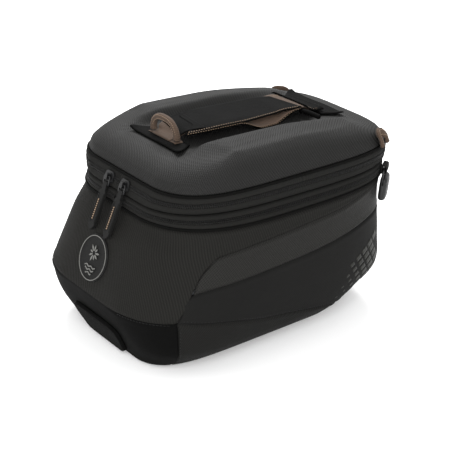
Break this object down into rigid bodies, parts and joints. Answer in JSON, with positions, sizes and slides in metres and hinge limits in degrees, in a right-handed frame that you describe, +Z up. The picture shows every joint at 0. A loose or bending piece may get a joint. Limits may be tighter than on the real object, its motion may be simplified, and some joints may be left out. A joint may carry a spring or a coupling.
{
  "type": "motorcycle tank bag",
  "caption": "Soft black fabric bag that sits on a motorcycle fuel tank, with a moulded lid on a wrap-round zip, an expansion zip, a carry handle and a quick-lock base ring.",
  "frame": {"origin": "middle of the bag's length and width, on the plane it stands on", "axes": "+Z up, -Y towards the rider (the end with the badge and the zip sliders), +X to the side with the panel seen beside it"},
  "size_m": [0.2266, 0.3048, 0.2111],
  "materials": {
    "textured_fabric": "fine diagonal ripstop weave, matt",
    "lid_fabric": "coated fabric over moulded foam, low sheen",
    "flash_fabric": "glossier coated panel",
    "smooth_fabric": "smooth coated fabric, soft sheen",
    "trim_binding": "sewn binding and piping",
    "zip_tape": "woven tape",
    "zip_chain": "moulded coil",
    "beige_webbing": "ribbed webbing",
    "black_plastic": "fine grain",
    "badge_rubber": "moulded, raised pale ring and emblem",
    "lining_fabric": "plain woven nylon",
    "mesh": "open knitted mesh",
    "base_board": "stiff sheet",
    "screw_steel": "zinc plated"
  },
  "bodies": {
    "case": {"rider_wrap_panel": "textured_fabric", "front_panel": "textured_fabric", "lower_side_right": "textured_fabric", "lower_side_left": "textured_fabric", "rider_lower_panel": "smooth_fabric", "side_panel_right": "smooth_fabric", "side_panel_left": "smooth_fabric", "side_flash_right": "flash_fabric", "side_flash_left": "flash_fabric", "base_panel": "trim_binding", "base_board": "base_board", "lock_housing": "black_plastic", "lock_cover": "black_plastic", "lock_screw_1": "screw_steel", "lock_screw_2": "screw_steel", "lock_screw_3": "screw_steel", "lock_screw_4": "screw_steel", "compartment_lining": "lining_fabric", "lower_piping": "trim_binding", "expansion_lower_tape": "zip_tape", "expansion_lower_chain": "zip_chain", "expansion_upper_chain": "zip_chain", "expansion_upper_tape": "zip_tape", "expansion_gusset": "textured_fabric", "middle_binding": "trim_binding", "main_lower_tape": "zip_tape", "main_lower_chain": "zip_chain", "hinge_strip": "zip_tape", "badge": "badge_rubber", "buckle_tab_right": "trim_binding", "buckle_tab_left": "trim_binding"},
    "lid": {"main_upper_chain": "zip_chain", "main_upper_tape": "zip_tape", "upper_piping": "trim_binding", "lid_shell": "lid_fabric", "lid_lining": "lining_fabric", "lid_mesh_panel": "mesh", "lid_pocket_zip": "zip_tape", "patch_rider": "trim_binding", "patch_front": "trim_binding", "handle_webbing": "beige_webbing", "handle_sleeve": "trim_binding", "rider_loop_base": "beige_webbing"},
    "rider_loop": {"rider_loop": "beige_webbing"},
    "front_loop_right": {"front_loop_right": "beige_webbing"},
    "front_loop_left": {"front_loop_left": "beige_webbing"},
    "zip_left_slider": {"zip_left_slider": "black_plastic"},
    "zip_left_link": {"zip_left_link": "black_plastic"},
    "zip_left_pull": {"zip_left_pull": "black_plastic"},
    "zip_right_slider": {"zip_right_slider": "black_plastic"},
    "zip_right_link": {"zip_right_link": "black_plastic"},
    "zip_right_pull": {"zip_right_pull": "black_plastic"},
    "expansion_slider": {"expansion_slider": "black_plastic"},
    "expansion_link": {"expansion_link": "black_plastic"},
    "expansion_pull": {"expansion_pull": "black_plastic"},
    "buckle_right": {"buckle_right": "black_plastic"},
    "buckle_left": {"buckle_left": "black_plastic"},
    "release": {"release_tongue": "trim_binding", "release_bar": "black_plastic"}
  },
  "joints": [
    {"name": "lid_hinge", "type": "hinge", "parent": "case", "child": "lid", "pos_m": [0, 0.15112, 0.16015], "axis": [-1, 0, 0], "range_deg": [0, 100]},
    {"name": "zip_left_slide", "type": "slide", "parent": "case", "child": "zip_left_slider", "axis": [-1, 0, 0], "range_m": [-0.0055, 0.019]},
    {"name": "zip_left_link_hinge", "type": "hinge", "parent": "zip_left_slider", "child": "zip_left_link", "pos_m": [-0.015, -0.11848, 0.159], "axis": [-1, 0, 0], "range_deg": [0, 70]},
    {"name": "zip_left_pull_hinge", "type": "hinge", "parent": "zip_left_link", "child": "zip_left_pull", "pos_m": [-0.015, -0.12055, 0.15128], "axis": [-1, 0, 0], "range_deg": [0, 75]},
    {"name": "zip_right_slide", "type": "slide", "parent": "case", "child": "zip_right_slider", "axis": [1, 0, 0], "range_m": [-0.0055, 0.022]},
    {"name": "zip_right_link_hinge", "type": "hinge", "parent": "zip_right_slider", "child": "zip_right_link", "pos_m": [0.011, -0.11848, 0.159], "axis": [-1, 0, 0], "range_deg": [0, 70]},
    {"name": "zip_right_pull_hinge", "type": "hinge", "parent": "zip_right_link", "child": "zip_right_pull", "pos_m": [0.011, -0.12055, 0.15128], "axis": [-1, 0, 0], "range_deg": [0, 75]},
    {"name": "expansion_slide", "type": "slide", "parent": "case", "child": "expansion_slider", "axis": [0.0701, 0.9975, 0], "range_m": [-0.008, 0.028]},
    {"name": "expansion_link_hinge", "type": "hinge", "parent": "expansion_slider", "child": "expansion_link", "pos_m": [-0.10243, 0.03137, 0.14394], "axis": [0.0701, 0.9975, 0], "range_deg": [0, 70]},
    {"name": "expansion_pull_hinge", "type": "hinge", "parent": "expansion_link", "child": "expansion_pull", "pos_m": [-0.10618, 0.03163, 0.13687], "axis": [0.0701, 0.9975, 0], "range_deg": [0, 75]},
    {"name": "rider_loop_flex", "type": "hinge", "parent": "lid", "child": "rider_loop", "pos_m": [0.001, -0.06678, 0.1941], "axis": [1, 0, 0], "range_deg": [-20, 75], "stiffness_Nm_per_rad": 0.02},
    {"name": "front_loop_right_flex", "type": "hinge", "parent": "lid", "child": "front_loop_right", "pos_m": [0.08093, 0.1264, 0.16837], "axis": [-0.5364, 0.844, 0], "range_deg": [0, 90], "stiffness_Nm_per_rad": 0.01},
    {"name": "buckle_right_hinge", "type": "hinge", "parent": "case", "child": "buckle_right", "pos_m": [0.0787, 0.13028, 0.14207], "axis": [0.6552, -0.7554, 0], "range_deg": [0, 110]},
    {"name": "front_loop_left_flex", "type": "hinge", "parent": "lid", "child": "front_loop_left", "pos_m": [-0.08093, 0.1264, 0.16837], "axis": [-0.5364, -0.844, 0], "range_deg": [0, 90], "stiffness_Nm_per_rad": 0.01},
    {"name": "buckle_left_hinge", "type": "hinge", "parent": "case", "child": "buckle_left", "pos_m": [-0.0787, 0.13028, 0.14207], "axis": [0.6552, 0.7554, 0], "range_deg": [0, 110]},
    {"name": "release_slide", "type": "slide", "parent": "case", "child": "release", "axis": [0, -1, 0], "range_m": [0, 0.008], "stiffness_N_per_m": 300}
  ]
}
